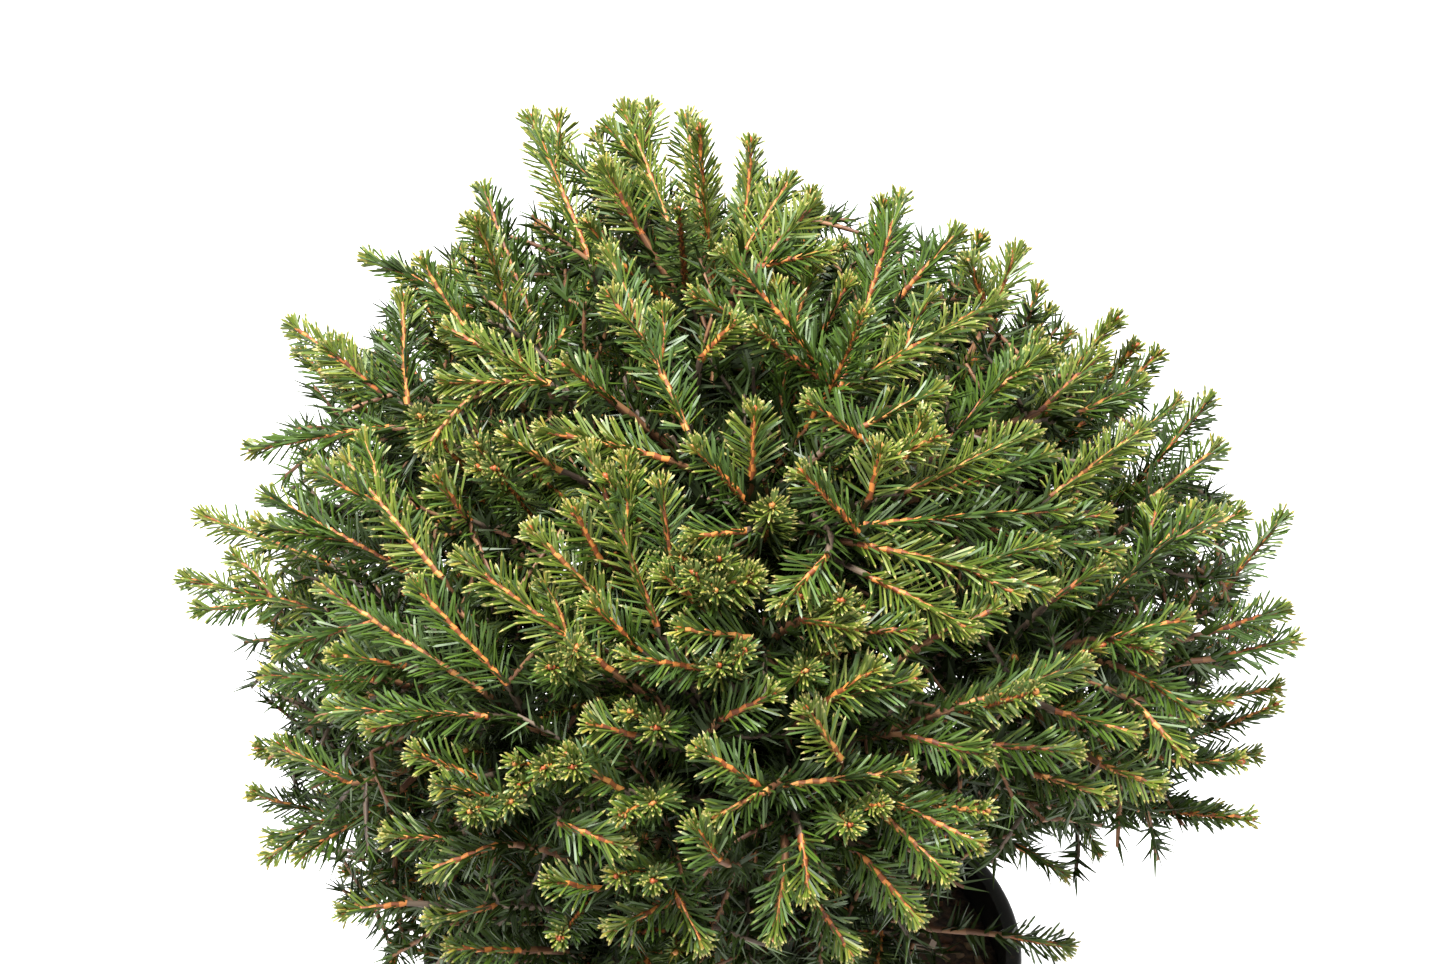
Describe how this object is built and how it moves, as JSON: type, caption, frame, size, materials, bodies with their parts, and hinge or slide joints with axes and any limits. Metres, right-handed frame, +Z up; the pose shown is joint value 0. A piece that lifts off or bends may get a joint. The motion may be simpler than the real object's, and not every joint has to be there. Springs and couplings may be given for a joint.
{
  "type": "potted dwarf serbian spruce",
  "caption": "Dense globe-shaped dwarf spruce with outward-pointing needled shoots, standing in a plain round black nursery pot.",
  "frame": {"origin": "centre of the pot's flat underside", "axes": "+Z up along the pot's axis; -Y faces the camera of the picture, with +X to its right"},
  "size_m": [0.3734, 0.387, 0.5342],
  "materials": {
    "pot_plastic": "matte black, finely moulded",
    "bark_medium": "damp peat and composted bark chips",
    "bark": "rough, scaly and peg-covered spruce bark",
    "needles": "glossy dark green needles, paler at the shoot tips"
  },
  "bodies": {
    "root": {"pot": "pot_plastic", "growing_medium": "bark_medium", "trunk": "bark", "bough_skirt_1": "bark", "bough_skirt_2": "bark", "bough_skirt_3": "bark", "bough_skirt_4": "bark", "bough_skirt_5": "bark", "bough_skirt_6": "bark", "bough_skirt_7": "bark", "bough_waist_1": "bark", "bough_waist_2": "bark", "bough_waist_3": "bark", "bough_waist_4": "bark", "bough_waist_5": "bark", "bough_waist_6": "bark", "bough_waist_7": "bark", "bough_shoulder_1": "bark", "bough_shoulder_2": "bark", "bough_shoulder_3": "bark", "bough_shoulder_4": "bark", "bough_shoulder_5": "bark", "bough_shoulder_6": "bark", "bough_crest_1": "bark", "bough_crest_2": "bark", "bough_crest_3": "bark", "bough_crest_4": "bark", "foliage_skirt_1": "needles", "foliage_skirt_2": "needles", "foliage_skirt_3": "needles", "foliage_skirt_4": "needles", "foliage_skirt_5": "needles", "foliage_skirt_6": "needles", "foliage_skirt_7": "needles", "foliage_waist_1": "needles", "foliage_waist_2": "needles", "foliage_waist_3": "needles", "foliage_waist_4": "needles", "foliage_waist_5": "needles", "foliage_waist_6": "needles", "foliage_waist_7": "needles", "foliage_shoulder_1": "needles", "foliage_shoulder_2": "needles", "foliage_shoulder_3": "needles", "foliage_shoulder_4": "needles", "foliage_shoulder_5": "needles", "foliage_shoulder_6": "needles", "foliage_crest_1": "needles", "foliage_crest_2": "needles", "foliage_crest_3": "needles", "foliage_crest_4": "needles", "foliage_leader": "needles"}
  },
  "joints": []
}
